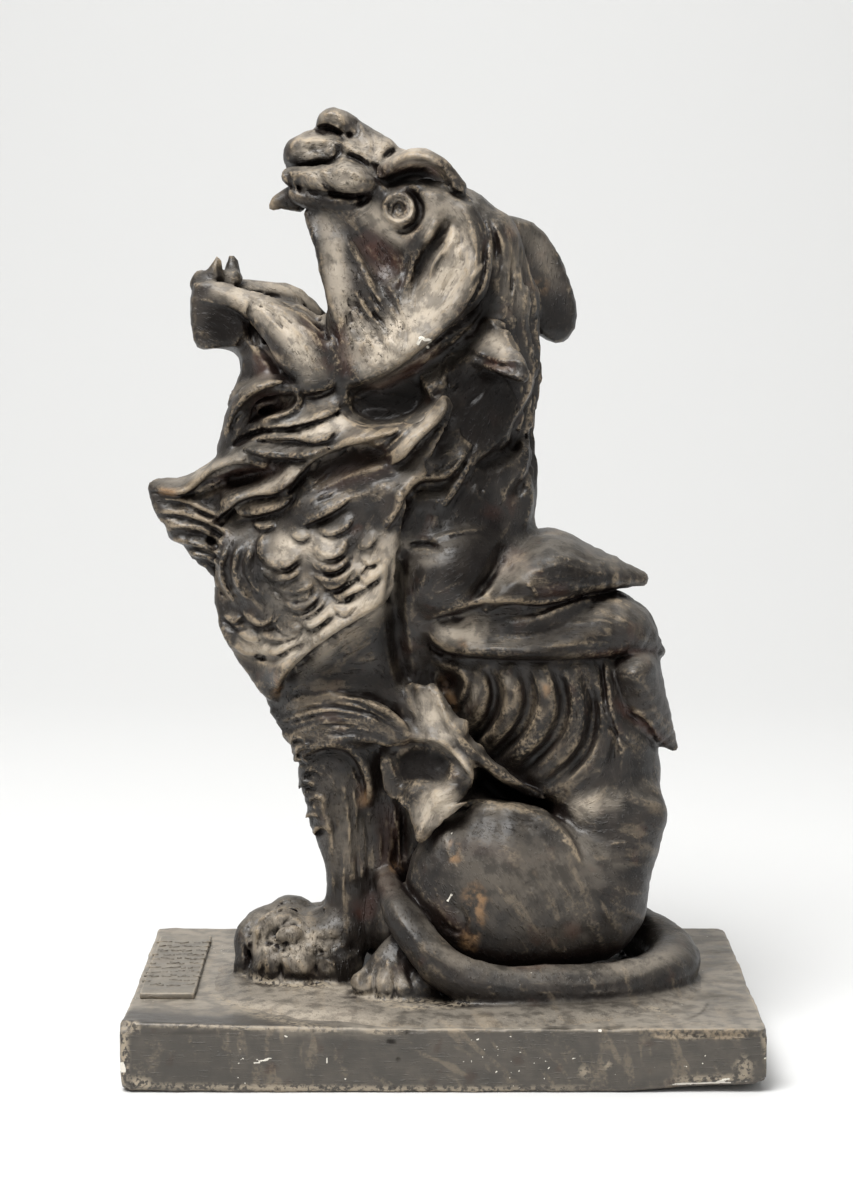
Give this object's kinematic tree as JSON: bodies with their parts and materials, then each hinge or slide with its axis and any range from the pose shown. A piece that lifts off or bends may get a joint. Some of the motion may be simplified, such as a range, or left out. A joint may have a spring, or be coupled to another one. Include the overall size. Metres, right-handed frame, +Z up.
{
  "type": "seated roaring lion statue",
  "caption": "Small dark plaster statue of a seated lion roaring with its head thrown back, on a rectangular slab with an oval ground and a small tablet.",
  "frame": {"origin": "centre of the slab's underside", "axes": "+Z up, the lion faces -X, its near side as pictured faces -Y"},
  "size_m": [0.345, 0.23, 0.5253],
  "materials": {
    "lion": "dark brown-black patina on plaster, satin, dusty in the hollows, worn to tan on the edges",
    "slab": "dark patina on plaster, satin, chipped to white and tan along its edges",
    "tablet": "dark patina on plaster, satin, with shallow strokes"
  },
  "bodies": {
    "root": {"lion": "lion", "slab": "slab", "tablet": "tablet"}
  },
  "joints": []
}
